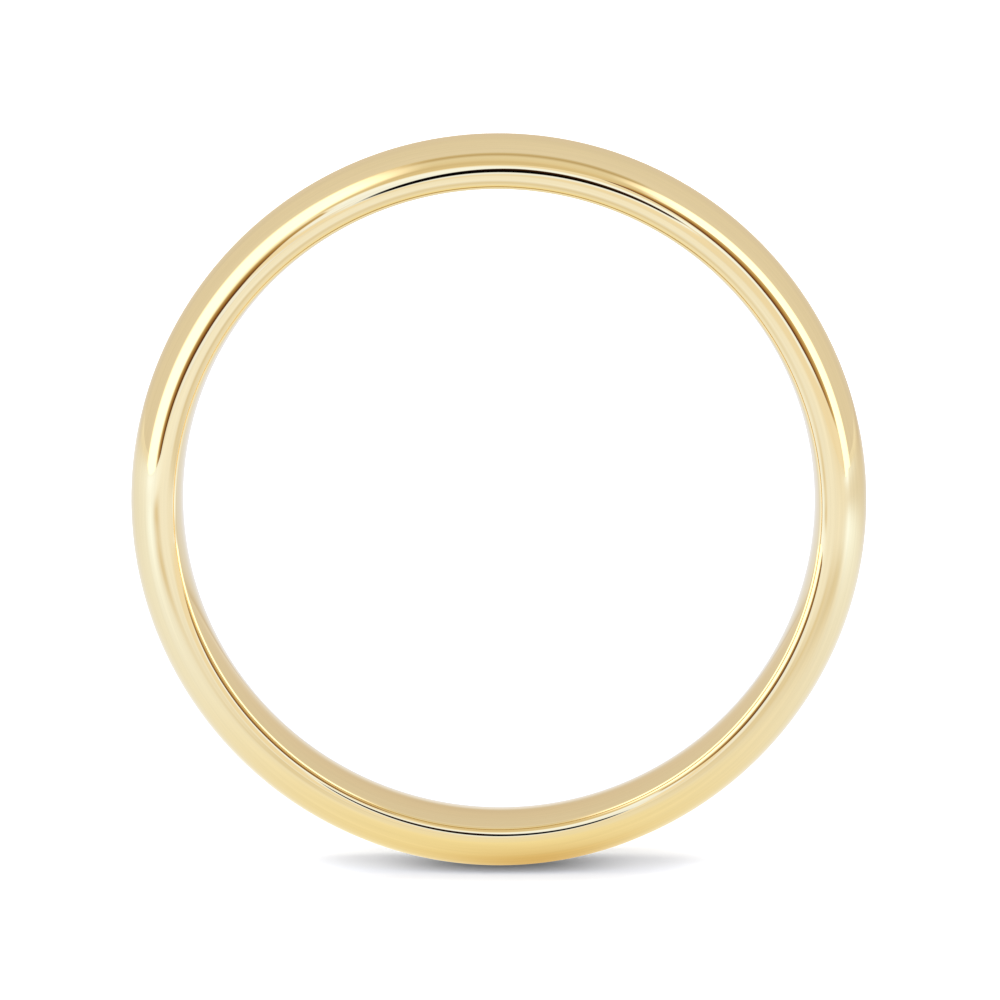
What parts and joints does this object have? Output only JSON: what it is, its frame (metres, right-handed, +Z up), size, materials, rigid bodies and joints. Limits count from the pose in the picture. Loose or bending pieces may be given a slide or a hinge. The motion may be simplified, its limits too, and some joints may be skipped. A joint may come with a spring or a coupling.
{
  "type": "wedding band",
  "caption": "Plain domed comfort-fit wedding band: a seamless ring of polished yellow gold with softly rounded edges.",
  "frame": {"origin": "centre of the ring: on the axis of the finger hole, halfway along the band", "axes": "+Y along the finger hole, from the front side face to the back one; +Z up, with the band standing on its rim; +X to the right, seen from the front"},
  "size_m": [0.023, 0.005, 0.023],
  "materials": {
    "polished_yellow_gold": "mirror polished"
  },
  "bodies": {
    "root": {"band": "polished_yellow_gold"}
  },
  "joints": []
}
